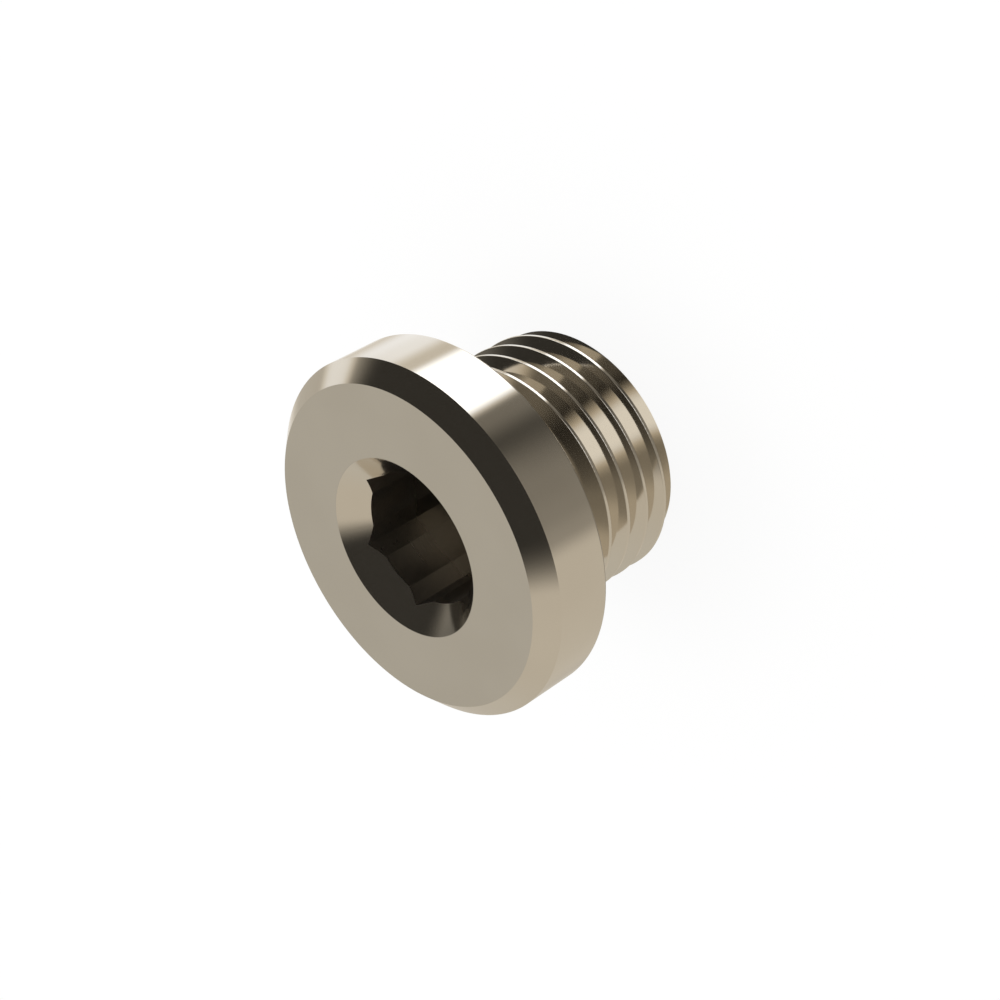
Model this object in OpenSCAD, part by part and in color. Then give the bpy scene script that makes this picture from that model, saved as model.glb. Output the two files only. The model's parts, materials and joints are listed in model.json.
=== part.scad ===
// Screw plug with a collar head, a countersunk hexagon socket and a short metric thread.
// Turned from one bar. It stands on its thread end, with the head's face up.
// The origin is the centre of the thread end, and +Z points to the head.

/* [Head] */
// Diameter of the head
head_d = 14; // [11.5:0.1:18]
// Height of the head, from the sealing seat to its face
head_h = 3.05; // [2:0.05:5]
// Width of the 45 degree chamfer round the face
face_chamfer = 0.7; // [0.2:0.05:1.2]
// Width of the small chamfer that breaks the edge of the sealing seat
seat_edge = 0.12; // [0.05:0.01:0.3]

/* [Hexagon socket] */
// Width across the flats of the hexagon
hex_across_flats = 5; // [4:0.1:5.1]
// Depth of the hexagon below the head's face
hex_depth = 5; // [3:0.1:6]
// Diameter of the drilled hole that the hexagon is cut from, a little over the flats
drill_d = 5.2; // [4.1:0.05:5.6]
// How much deeper the drill goes than the hexagon
drill_extra = 0.5; // [0.2:0.05:1]
// Angle of the drill's point
drill_point_angle = 118; // [90:1:140]
// Diameter of the countersink at the head's face
countersink_d = 7; // [6.2:0.1:8.5]
// Angle of the countersink
countersink_angle = 90; // [70:1:120]

/* [Threaded shank] */
// Diameter over the thread's crests
thread_d = 9.8; // [9.3:0.05:10]
// Length of the shank, from the sealing seat to the thread end
shank_l = 6.3; // [5.5:0.05:12]
// Diameter of the flat thread end, inside its 45 degree chamfer
tip_d = 9; // [8:0.05:9.2]
// Diameter of the relief groove behind the head, under the thread's roots
relief_d = 8.5; // [7.8:0.05:9]
// Width of the relief groove, from the sealing seat to the foot of its slope
relief_w = 1.8; // [1:0.05:2]
// Angle of the slope from the relief groove up to the thread
relief_angle = 60; // [45:1:75]
// Radial gap from the thread's crests to the flat of the seat, where the groove's round corner ends
seat_gap = 0.05; // [0:0.01:0.1]

/* [Hidden] */
$fn = 96;
head_r = head_d / 2;
thread_r = thread_d / 2;
tip_r = tip_d / 2;
relief_r = relief_d / 2;
total_h = shank_l + head_h;
tip_chamfer = thread_r - tip_r;
relief_rise = (thread_r - relief_r) / tan(relief_angle);
relief_low = shank_l - relief_w;
relief_corner = thread_r + seat_gap - relief_r;
// Angle between the points of the groove's round corner
corner_step = 15;
drill_depth = hex_depth + drill_extra;
drill_point_h = drill_d / 2 / tan(drill_point_angle / 2);
hex_r = hex_across_flats / 2 / cos(30);
// What each cutter stands out of the face, so that it opens it cleanly
cut_over = 1;
nickel = [0.70, 0.66, 0.58];

// Half section of the turned blank, from the thread end up to the head's face
module blank() {
    shank = [
        [0, 0],
        [tip_r, 0],
        [thread_r, tip_chamfer],
        [thread_r, relief_low - relief_rise],
        [relief_r, relief_low]
    ];
    // Round corner from the floor of the relief groove out to the flat of the seat
    corner = [
        for (a = [0 : corner_step : 90])
            [relief_r + relief_corner * (1 - cos(a)), shank_l - relief_corner * (1 - sin(a))]
    ];
    head = [
        [head_r - seat_edge, shank_l],
        [head_r, shank_l + seat_edge],
        [head_r, total_h - face_chamfer],
        [head_r - face_chamfer, total_h],
        [0, total_h]
    ];
    rotate_extrude()
        polygon(concat(shank, corner, head));
}

// The drilled hole with its pointed floor
module drilled_hole() {
    translate([0, 0, total_h - drill_depth])
        cylinder(h = drill_depth + cut_over, d = drill_d);
    translate([0, 0, total_h - drill_depth - drill_point_h])
        cylinder(h = drill_point_h, d1 = 0, d2 = drill_d);
}

// The hexagon, with two corners on the X axis
module hexagon() {
    translate([0, 0, total_h - hex_depth])
        cylinder(h = hex_depth + cut_over, r = hex_r, $fn = 6);
}

// A whole cone that meets the face at the countersink's diameter
module countersink() {
    cone_r = countersink_d / 2 + cut_over * tan(countersink_angle / 2);
    cone_h = cone_r / tan(countersink_angle / 2);
    translate([0, 0, total_h + cut_over - cone_h])
        cylinder(h = cone_h, r1 = 0, r2 = cone_r);
}

module plug() {
    color(nickel)
        difference() {
            blank();
            drilled_hole();
            hexagon();
            countersink();
        }
}

plug();
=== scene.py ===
import json
from math import cos, pi, radians, sin, tan

import bmesh
import bpy
from mathutils import Matrix, Vector


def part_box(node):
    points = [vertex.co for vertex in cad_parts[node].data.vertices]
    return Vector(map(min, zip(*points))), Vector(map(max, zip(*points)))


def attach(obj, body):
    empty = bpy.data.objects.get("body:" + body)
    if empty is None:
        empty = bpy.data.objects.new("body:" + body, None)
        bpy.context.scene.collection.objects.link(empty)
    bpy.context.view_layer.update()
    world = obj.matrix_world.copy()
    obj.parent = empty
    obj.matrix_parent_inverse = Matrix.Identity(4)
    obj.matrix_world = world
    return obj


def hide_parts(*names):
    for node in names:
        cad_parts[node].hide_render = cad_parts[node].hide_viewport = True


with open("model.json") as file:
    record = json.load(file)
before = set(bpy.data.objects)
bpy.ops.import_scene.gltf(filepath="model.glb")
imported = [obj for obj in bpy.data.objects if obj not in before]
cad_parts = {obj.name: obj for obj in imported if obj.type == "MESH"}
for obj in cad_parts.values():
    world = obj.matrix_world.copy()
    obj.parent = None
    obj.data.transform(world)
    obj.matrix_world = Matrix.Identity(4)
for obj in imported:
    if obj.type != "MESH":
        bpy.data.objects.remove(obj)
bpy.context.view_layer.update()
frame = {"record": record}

MM = 0.001
TURN = 2 * pi

# The plug's main sizes, from the frame
plug_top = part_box("plug")[1]
mounts = {mount["name"]: mount for mount in frame["record"]["mounts"]}
TOTAL_H = plug_top.z
HEAD_R = plug_top.x
SEAT_Z = mounts["seat"]["pos_m"][2]
THREAD_R = mounts["thread"]["dims"]["r_mm"] * MM

# Head
FACE_CHAMFER = 0.7 * MM
SEAT_EDGE = 0.12 * MM

# Hexagon socket
HEX_FLATS = 5 * MM
HEX_DEPTH = 5 * MM
DRILL_R = 2.6 * MM
DRILL_EXTRA = 0.5 * MM
DRILL_POINT = radians(118)
COUNTERSINK_R = 3.5 * MM
BROACH_ABOVE = 1 * MM

# Shank, with the relief groove behind the head
TIP_R = 4.5 * MM
RELIEF_R = 4.25 * MM
RELIEF_W = 1.8 * MM
RELIEF_SLOPE = radians(60)
SEAT_GAP = 0.05 * MM

# Thread, right-handed
PITCH = 1 * MM
CREST_W = 0.13 * MM
ROOT_ROUND = 0.1 * PITCH
CREST_ROUND = 0.03 * MM
FLANK = radians(30)
CREST_BELOW_FACE = 5.449 * MM

# Thread cutter: where it starts below that crest, its turns, and how it leaves the crests' cylinder
CUTTER_START = 4.5 * PITCH
CUTTER_TURNS = 6
CUTTER_OUT = 0.3 * MM
RUN_OUT = 0.004 * MM
RUN_OUT_SLOPE = radians(12)

# Small rounding that polishing leaves on the edges of the seat and the thread end
EDGE_ROUND = 0.03 * MM
EDGE_SEGMENTS = 3

# How fine the turned surfaces are
STEPS = 160
CORNER_STEPS = 12
ROOT_STEPS = 8
SHOULDER_STEPS = 6
SMOOTH_LIMIT = radians(9)

# Distances within which points are one point, after a spin and after a cut, or lie on a ring
SPUN_MERGE = 1e-7
CUT_MERGE = 2e-8
ON_RING = 1e-6

# Nickel plate: its colours, the last one darkened as painted shade in the socket, its polish, and the
# scale of its turned rings and cloudy patches
NICKEL = (0.71, 0.66, 0.575, 1)
NICKEL_PALE = (0.73, 0.68, 0.595, 1)
NICKEL_PAINTED_SHADE_IN_HOLE = (0.43, 0.4, 0.355, 1)
POLISH = 0.08
POLISH_SPREAD = 0.02
MOUTH_ROUGHER = 0.02
HOLE_ROUGHER = 0.16
SHANK_SMOOTHER = 0.02
RING_SCALE = 9000.0
RING_DEPTH = 0.00002
RING_STRENGTH = 0.008
CLOUD_SCALE = 260.0

# The photograph's camera
IMAGE = 1000
SENSOR = 36
LENS = 74.98
VIEW_ELEVATION = radians(36.53)
VIEW_AZIMUTH = radians(-104.37)
VIEW_ROLL = radians(-120.43)
FACE_AT = (402.87, 548.66)
FACE_DISTANCE = 73.79 * MM
NEAREST_SEEN = 0.005
FARTHEST_SEEN = 10

# How bright the studio's walls are, as pairs of an elevation in degrees and a level, where 1 is white
BACK_WALL = [(-50, 0.61), (-12, 0.58), (7, 0.93), (16, 0.72), (35, 1.15), (48, 1.12), (60, 0.7)]
RIGHT_WALL = [(-10, 0.62), (-1, 0.33), (8, 0.27), (22, 0.24), (48, 0.08), (60, 0.2)]
LEFT_WALL = [(-60, 0.61), (-40, 0.51), (-16, 0.52), (0, 0.15)]

# How bright the rest of the studio is
OVER_LEFT_WALL = 0.53
DARK_ROOM = 0.033
LAMP_LIGHT = 2.0
RIGHT_CARD = 1.3
LEFT_CARD = 0.98

# Places in the studio: azimuth from the camera to its right and elevation above it, in degrees
CAMERA_SIDE = (0, 0)
RIGHT_SIDE = (90, 0)
OVERHEAD = (0, 90)
BEHIND_THREAD_END = (128, 24)
DARK_PLACES = [(-67, 26), (-38, 14), (-13, -14)]
LEFT_CARD_PLACE = (-122, 25)
MIRRORED_BY_FACE = (-112, -28)

# Colours of the studio's light
WARM_SHADE = (1.01, 0.93, 0.8, 1)
FACE_SHADE = (1.01, 0.97, 0.88, 1)
COOL_LIGHT = (1, 1.02, 1.06, 1)
WHITE = (1, 1, 1, 1)

# Floor, and the lamp that lights it
FLOOR_R = 1.5
FLOOR_SEGMENTS = 96
FLOOR_PAINT = (0.9, 0.9, 0.9, 1)
FLOOR_GLOW = 0.9
LAMP_SIZE = 0.12
LAMP_POWER = 0.1
LAMP_PLACE = (0.05, 0.04, 0.2)


class Wire:
    """One output of a node. Sums and products on it add Math nodes."""

    def __init__(self, nodes, socket):
        self.nodes = nodes
        self.socket = socket

    def __add__(self, other):
        return self.nodes.math("ADD", self, other)

    def __radd__(self, other):
        return self.nodes.math("ADD", other, self)

    def __sub__(self, other):
        return self.nodes.math("SUBTRACT", self, other)

    def __rsub__(self, other):
        return self.nodes.math("SUBTRACT", other, self)

    def __mul__(self, other):
        return self.nodes.math("MULTIPLY", self, other)

    def __rmul__(self, other):
        return self.nodes.math("MULTIPLY", other, self)


class Nodes:
    """Adds nodes to one tree."""

    def __init__(self, tree):
        self.tree = tree
        tree.nodes.clear()

    def add(self, kind, settings=None, inputs=None, out=0):
        """Adds a node of this kind, sets it, feeds its inputs and gives back one of its outputs."""
        node = self.tree.nodes.new(kind)
        for name, value in (settings or {}).items():
            setattr(node, name, value)
        for name, value in (inputs or {}).items():
            if isinstance(value, Wire):
                self.tree.links.new(value.socket, node.inputs[name])
            else:
                node.inputs[name].default_value = value
        return Wire(self, node.outputs[out] if node.outputs else None)

    def math(self, operation, *values):
        """A Math node on one or two values."""
        return self.add("ShaderNodeMath", {"operation": operation}, dict(enumerate(values)))

    def degrees(self, angle):
        """An angle in degrees, from one in radians."""
        return self.math("DEGREES", angle)

    def dot(self, vector, direction):
        """How far a vector points along a fixed direction."""
        feeds = {0: vector, 1: tuple(direction)}
        return self.add("ShaderNodeVectorMath", {"operation": "DOT_PRODUCT"}, feeds, out="Value")

    def ease(self, value, start, end, low=0.0, high=1.0):
        """Eases from low to high while the value goes from start to end."""
        feeds = {"Value": value, "From Min": start, "From Max": end, "To Min": low, "To Max": high}
        return self.add("ShaderNodeMapRange", {"interpolation_type": "SMOOTHSTEP"}, feeds)

    def slope(self, value, points):
        """Eases from one level to the next while the value goes through the points' places."""
        start, level = points[0]
        result = level
        for end, next_level in points[1:]:
            result = result + (next_level - level) * self.ease(value, start, end)
            start, level = end, next_level
        return result

    def blend(self, factor, first, second):
        """Mixes two colours."""
        feeds = {"Factor": factor, "A": first, "B": second}
        return self.add("ShaderNodeMix", {"data_type": "RGBA"}, feeds, out="Result")


def shifted(value, level, share):
    """A value moved towards a level by a share from 0 to 1."""
    return value + (level - value) * share


# Camera

def camera_turn():
    """The camera's turn in the plug's frame: round the axis, up over it, then rolled."""
    azimuth = Matrix.Rotation(VIEW_AZIMUTH + pi / 2, 3, "Z")
    elevation = Matrix.Rotation(pi / 2 - VIEW_ELEVATION, 3, "X")
    roll = Matrix.Rotation(VIEW_ROLL, 3, "Z")
    return azimuth @ elevation @ roll


def make_camera():
    """Puts the centre of the head's face where the photograph shows it."""
    turn = camera_turn()
    pixels = LENS / SENSOR * IMAGE
    across = (FACE_AT[0] - IMAGE / 2) / pixels
    down = (FACE_AT[1] - IMAGE / 2) / pixels
    face_seen = FACE_DISTANCE * Vector((across, -down, -1))
    data = bpy.data.cameras.new("camera")
    data.lens = LENS
    data.sensor_width = SENSOR
    data.clip_start = NEAREST_SEEN
    data.clip_end = FARTHEST_SEEN
    camera = bpy.data.objects.new("camera", data)
    bpy.context.scene.collection.objects.link(camera)
    place = Vector((0, 0, TOTAL_H)) - turn @ face_seen
    camera.matrix_world = Matrix.Translation(place) @ turn.to_4x4()
    bpy.context.scene.camera = camera


# Screw plug

def arc(centre, radius, start, end, count):
    """Points along an arc in the section plane, from one angle to another."""
    angles = [start + (end - start) * i / count for i in range(count + 1)]
    return [(centre[0] + radius * cos(a), centre[1] + radius * sin(a)) for a in angles]


def blank_profile():
    """Half section of the turned blank, from the thread end's centre round to the hole's point."""
    corner = THREAD_R + SEAT_GAP - RELIEF_R
    relief_low = SEAT_Z - RELIEF_W
    slope_low = relief_low - (THREAD_R - RELIEF_R) / tan(RELIEF_SLOPE)
    hole_floor = TOTAL_H - HEX_DEPTH - DRILL_EXTRA
    shank = [
        (0, 0),
        (TIP_R, 0),
        (THREAD_R, THREAD_R - TIP_R),
        (THREAD_R, slope_low),
        (RELIEF_R, relief_low),
    ]
    under_head = arc((RELIEF_R + corner, SEAT_Z - corner), corner, pi, pi / 2, CORNER_STEPS)
    head = [
        (HEAD_R - SEAT_EDGE, SEAT_Z),
        (HEAD_R, SEAT_Z + SEAT_EDGE),
        (HEAD_R, TOTAL_H - FACE_CHAMFER),
        (HEAD_R - FACE_CHAMFER, TOTAL_H),
        (COUNTERSINK_R, TOTAL_H),
    ]
    hole = [
        (DRILL_R, TOTAL_H - COUNTERSINK_R + DRILL_R),
        (DRILL_R, hole_floor),
        (0, hole_floor - DRILL_R / tan(DRILL_POINT / 2)),
    ]
    return shank + under_head + head + hole


def groove_profile():
    """Section of the thread groove about its middle, with a round root and rounded shoulders."""
    mouth = (PITCH - CREST_W) / 2
    centre_r = THREAD_R - mouth / tan(FLANK) + ROOT_ROUND / sin(FLANK)
    root = arc((centre_r, 0), ROOT_ROUND, pi, pi / 2 + FLANK, ROOT_STEPS)
    shoulder_turn = radians(60)
    shoulder_at = (THREAD_R - CREST_ROUND, mouth + CREST_ROUND * tan(shoulder_turn / 2))
    shoulder = arc(shoulder_at, CREST_ROUND, -shoulder_turn, -RUN_OUT_SLOPE, SHOULDER_STEPS)
    last_r, last_z = shoulder[-1]
    ramp_r = THREAD_R + RUN_OUT
    ramp_z = last_z + (ramp_r - last_r) / tan(RUN_OUT_SLOPE)
    half = root + shoulder + [(ramp_r, ramp_z), (THREAD_R + CUTTER_OUT, ramp_z)]
    mirrored = [(r, -z) for r, z in reversed(half[1:])]
    return mirrored + half


def turned(points):
    """Spins a profile round the axis into a closed, outward-facing shell."""
    bm = bmesh.new()
    ring = [bm.verts.new((r, 0, z)) for r, z in points]
    wire = [bm.edges.new(pair) for pair in zip(ring, ring[1:])]
    bmesh.ops.spin(
        bm, geom=ring + wire, axis=(0, 0, 1), cent=(0, 0, 0), angle=TURN, steps=STEPS, use_merge=True
    )
    bmesh.ops.remove_doubles(bm, verts=bm.verts, dist=SPUN_MERGE)
    bmesh.ops.recalc_face_normals(bm, faces=bm.faces)
    return bm


def ring_edges(bm, radius, height):
    """The edges of one turned ring, found by their radius and height."""
    def lies_on_ring(vert):
        return abs(vert.co.xy.length - radius) < ON_RING and abs(vert.co.z - height) < ON_RING
    return [edge for edge in bm.edges if all(lies_on_ring(vert) for vert in edge.verts)]


def round_rings(bm, rings, size):
    """Rounds turned edges."""
    edges = [edge for radius, height in rings for edge in ring_edges(bm, radius, height)]
    bmesh.ops.bevel(
        bm, geom=edges, offset=size, segments=EDGE_SEGMENTS, profile=0.5, affect="EDGES", material=-1
    )


def mesh_object(name, bm):
    """Makes a mesh object of a bmesh and frees the bmesh."""
    mesh = bpy.data.meshes.new(name)
    bm.to_mesh(mesh)
    bm.free()
    piece = bpy.data.objects.new(name, mesh)
    bpy.context.scene.collection.objects.link(piece)
    return piece


def blank():
    """The plug as it is turned, before its hexagon and its thread are cut."""
    bm = turned(blank_profile())
    round_rings(bm, [(TIP_R, 0), (HEAD_R - SEAT_EDGE, SEAT_Z), (HEAD_R, SEAT_Z + SEAT_EDGE)], EDGE_ROUND)
    return mesh_object("screw_plug", bm)


def hexagon_cutter():
    """The broached hexagon, with two corners on the X axis."""
    radius = HEX_FLATS / 2 / cos(radians(30))
    middle = TOTAL_H + (BROACH_ABOVE - HEX_DEPTH) / 2
    place = Matrix.Translation((0, 0, middle)) @ Matrix.Rotation(pi / 2, 4, "Z")
    bm = bmesh.new()
    bmesh.ops.create_cone(
        bm, cap_ends=True, segments=6, radius1=radius, radius2=radius, depth=HEX_DEPTH + BROACH_ABOVE,
        matrix=place
    )
    return mesh_object("hexagon_cutter", bm)


def thread_cutter():
    """The helical groove, from below the thread end up into the relief groove."""
    low_middle = TOTAL_H - CREST_BELOW_FACE - CUTTER_START
    start = Matrix.Rotation(VIEW_AZIMUTH, 4, "Z")
    bm = bmesh.new()
    loop = [bm.verts.new(start @ Vector((r, 0, low_middle + z))) for r, z in groove_profile()]
    wire = [bm.edges.new(pair) for pair in zip(loop, loop[1:] + loop[:1])]
    bmesh.ops.spin(
        bm, geom=loop + wire, axis=(0, 0, 1), cent=(0, 0, 0), dvec=(0, 0, PITCH / STEPS),
        angle=TURN * CUTTER_TURNS, steps=STEPS * CUTTER_TURNS
    )
    bmesh.ops.holes_fill(bm, edges=[edge for edge in bm.edges if edge.is_boundary], sides=0)
    bmesh.ops.recalc_face_normals(bm, faces=bm.faces)
    return mesh_object("thread_cutter", bm)


def cut(piece, cutter):
    """Cuts one closed shape out of a piece and removes the cutter."""
    step = piece.modifiers.new("cut", "BOOLEAN")
    step.operation = "DIFFERENCE"
    step.solver = "EXACT"
    step.object = cutter
    bpy.context.view_layer.update()
    done = bpy.data.meshes.new_from_object(piece.evaluated_get(bpy.context.evaluated_depsgraph_get()))
    piece.modifiers.clear()
    piece.data = done
    bpy.data.objects.remove(cutter)


def finish_shading(piece):
    """Shades the piece smooth up to its real edges."""
    bm = bmesh.new()
    bm.from_mesh(piece.data)
    bmesh.ops.remove_doubles(bm, verts=bm.verts, dist=CUT_MERGE)
    bmesh.ops.recalc_face_normals(bm, faces=bm.faces)
    for face in bm.faces:
        face.smooth = True
    for edge in bm.edges:
        edge.smooth = len(edge.link_faces) == 2 and edge.calc_face_angle() < SMOOTH_LIMIT
    bm.to_mesh(piece.data)
    bm.free()
    weighted = piece.modifiers.new("flat faces stay flat", "WEIGHTED_NORMAL")
    weighted.keep_sharp = True
    weighted.weight = 100


# Materials

def nickel_plate():
    """Polished warm nickel over brass, with the faint rings that turning leaves, and a rougher finish in
    the socket, where the colour is darkened as painted shade."""
    material = bpy.data.materials.new("polished_nickel")
    material.use_nodes = True
    nodes = Nodes(material.node_tree)
    place = nodes.add("ShaderNodeTexCoord", out="Object")
    flat = nodes.add("ShaderNodeVectorMath", {"operation": "MULTIPLY"}, {0: place, 1: (1, 1, 0)})
    radius = nodes.add("ShaderNodeVectorMath", {"operation": "LENGTH"}, {0: flat}, out="Value")
    height = nodes.dot(place, (0, 0, 1))

    # Turned rings, which fade out on the shank, and cloudy patches
    section = nodes.add("ShaderNodeCombineXYZ", inputs={"X": radius, "Y": height})
    rings = nodes.add(
        "ShaderNodeTexNoise", {"noise_dimensions": "2D"},
        {"Vector": section, "Scale": RING_SCALE, "Detail": 3.0, "Roughness": 0.6}, out="Fac"
    )
    clouds = nodes.add(
        "ShaderNodeTexNoise",
        inputs={"Vector": place, "Scale": CLOUD_SCALE, "Detail": 2.0, "Roughness": 0.5}, out="Fac"
    )
    on_shank = nodes.ease(height, SEAT_Z, SEAT_Z - 0.02 * MM)
    ring_height = rings * (1 - 0.9 * on_shank)
    bump = nodes.add(
        "ShaderNodeBump",
        inputs={"Strength": RING_STRENGTH, "Distance": RING_DEPTH, "Height": ring_height}, out="Normal"
    )

    # The countersink, and the hole under it, which is rougher and has painted shade darkening its colour
    above_end = nodes.ease(height, 0.5 * MM, 1.5 * MM)
    in_mouth = nodes.ease(radius, COUNTERSINK_R + 0.04 * MM, COUNTERSINK_R - 0.04 * MM) * above_end
    cone = COUNTERSINK_R - TOTAL_H
    in_hole = nodes.ease(radius - height, cone + 0.002 * MM, cone + 0.02 * MM) * in_mouth

    outside = nodes.blend(nodes.ease(clouds, 0.35, 0.65), NICKEL, NICKEL_PALE)
    finish = MOUTH_ROUGHER * in_mouth + HOLE_ROUGHER * in_hole - SHANK_SMOOTHER * on_shank
    surface = nodes.add("ShaderNodeBsdfPrincipled", inputs={
        # Painted shade: the socket's walls and drill get a darker base colour
        "Base Color": nodes.blend(in_hole, outside, NICKEL_PAINTED_SHADE_IN_HOLE),
        "Metallic": 1.0,
        "Roughness": POLISH + POLISH_SPREAD * rings + POLISH_SPREAD * clouds + finish,
        "Normal": bump,
    })
    nodes.add("ShaderNodeOutputMaterial", inputs={"Surface": surface})
    return material


# Stage

def direction(turn, azimuth, elevation):
    """A direction in the studio: azimuth from the camera to its right, elevation above it, in degrees."""
    az, el = radians(azimuth), radians(elevation)
    return turn @ Vector((cos(el) * sin(az), sin(el), cos(el) * cos(az)))


def studio_world():
    """A soft studio that the polished metal mirrors, fixed to the plug: a light bench all round, a
    bright back wall, dim side walls, a lamp overhead, two soft cards, and a room that is dark in
    three places by the camera. Seen directly it is white."""
    turn = camera_turn()
    world = bpy.data.worlds.new("studio")
    world.use_nodes = True
    bpy.context.scene.world = world
    nodes = Nodes(world.node_tree)
    towards = nodes.add("ShaderNodeTexCoord", out="Generated")

    def nearness(place):
        """How near a direction is to a place in the studio, as the cosine of the angle between them."""
        return nodes.dot(towards, direction(turn, *place))

    near = nearness(CAMERA_SIDE)
    azimuth = nodes.degrees(nodes.math("ARCTAN2", nearness(RIGHT_SIDE), near))
    elevation = nodes.degrees(nodes.math("ARCSINE", nearness(OVERHEAD)))
    aside = nodes.math("ABSOLUTE", azimuth)

    # Right wall: its bench sinks towards the back, and it is darker in two places
    bench_edge = elevation + nodes.ease(azimuth, 88, 115, 0.0, 12.0)
    in_corner = nodes.ease(azimuth, 74, 60) * nodes.ease(elevation, -58, -35)
    behind_end = nodes.ease(nearness(BEHIND_THREAD_END), 0.88, 0.97)
    right_wall = nodes.slope(bench_edge, RIGHT_WALL) * (1 - 0.5 * in_corner) * (1 - 0.6 * behind_end)

    # Left wall: lighter above a tilted edge, which also cuts off the card on that side
    above_edge = nodes.ease(elevation - 0.45 * azimuth, 71, 77)
    left_wall = shifted(nodes.slope(elevation, LEFT_WALL), OVER_LEFT_WALL, above_edge)

    sides = shifted(left_wall, right_wall, nodes.ease(azimuth, -10, 10))
    room = shifted(sides, nodes.slope(elevation, BACK_WALL), nodes.ease(aside, 151, 172))
    dark = 0.0
    for place in DARK_PLACES:
        dark = nodes.math("MAXIMUM", dark, nodes.ease(nearness(place), 0.7, 0.945))
    room = shifted(room, DARK_ROOM, dark)

    # Lamp and cards
    lamp = nodes.ease(elevation, 63, 70) * nodes.ease(near, 0.28, 0.0)
    room = shifted(room, LAMP_LIGHT, lamp)
    right_card = nodes.ease(azimuth, 0, 14) * nodes.ease(azimuth, 72, 58)
    right_card = right_card * nodes.ease(elevation, -12, 10) * nodes.ease(elevation, 50, 26)
    room = shifted(room, RIGHT_CARD, right_card)
    left_card = nodes.ease(nearness(LEFT_CARD_PLACE), 0.972, 0.999) * above_edge
    room = shifted(room, LEFT_CARD, left_card)

    # Dim parts are warmer than bright ones
    on_face_side = nodes.ease(nearness(MIRRORED_BY_FACE), 0.5, 0.85)
    shade = nodes.blend(on_face_side, WARM_SHADE, FACE_SHADE)
    tone = nodes.blend(nodes.ease(room, 0.6, 1.2), shade, COOL_LIGHT)
    studio = nodes.add("ShaderNodeBackground", inputs={"Color": tone, "Strength": room})
    white = nodes.add("ShaderNodeBackground", inputs={"Color": WHITE, "Strength": 1.0})
    mirrored = nodes.add("ShaderNodeLightPath", out="Is Glossy Ray")
    surface = nodes.add("ShaderNodeMixShader", inputs={0: mirrored, 1: white, 2: studio})
    nodes.add("ShaderNodeOutputWorld", inputs={"Surface": surface})


def floor_paint():
    """Matt white, lifted to the white of the backdrop where the camera looks at it."""
    material = bpy.data.materials.new("white_floor")
    material.use_nodes = True
    nodes = Nodes(material.node_tree)
    paint = nodes.add("ShaderNodeBsdfDiffuse", inputs={"Color": FLOOR_PAINT})
    glow = nodes.add("ShaderNodeEmission", inputs={"Color": WHITE, "Strength": 1.0})
    seen = nodes.add("ShaderNodeLightPath", out="Is Camera Ray")
    surface = nodes.add("ShaderNodeMixShader", inputs={0: seen * FLOOR_GLOW, 1: paint, 2: glow})
    nodes.add("ShaderNodeOutputMaterial", inputs={"Surface": surface})
    return material


def make_floor():
    """A wide disc under the thread end. The metal mirrors the studio in its place."""
    bm = bmesh.new()
    bmesh.ops.create_circle(bm, cap_ends=True, segments=FLOOR_SEGMENTS, radius=FLOOR_R)
    floor = mesh_object("floor", bm)
    floor.data.materials.append(floor_paint())
    floor.visible_glossy = False
    floor.visible_shadow = False


def make_lamp():
    """A large soft lamp over the plug, for the floor's light and the shadow."""
    data = bpy.data.lights.new("overhead_lamp", "AREA")
    data.shape = "DISK"
    data.size = LAMP_SIZE
    data.energy = LAMP_POWER
    lamp = bpy.data.objects.new("overhead_lamp", data)
    lamp.location = LAMP_PLACE
    lamp.rotation_euler = Vector(lamp.location).to_track_quat("Z", "Y").to_euler()
    lamp.visible_glossy = False
    bpy.context.scene.collection.objects.link(lamp)


make_camera()
plug = blank()
cut(plug, hexagon_cutter())
cut(plug, thread_cutter())
finish_shading(plug)
plug.data.materials.clear()
plug.data.materials.append(nickel_plate())
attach(plug, "root")
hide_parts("plug")

studio_world()
make_floor()
make_lamp()
bpy.context.scene.view_settings.view_transform = "Standard"
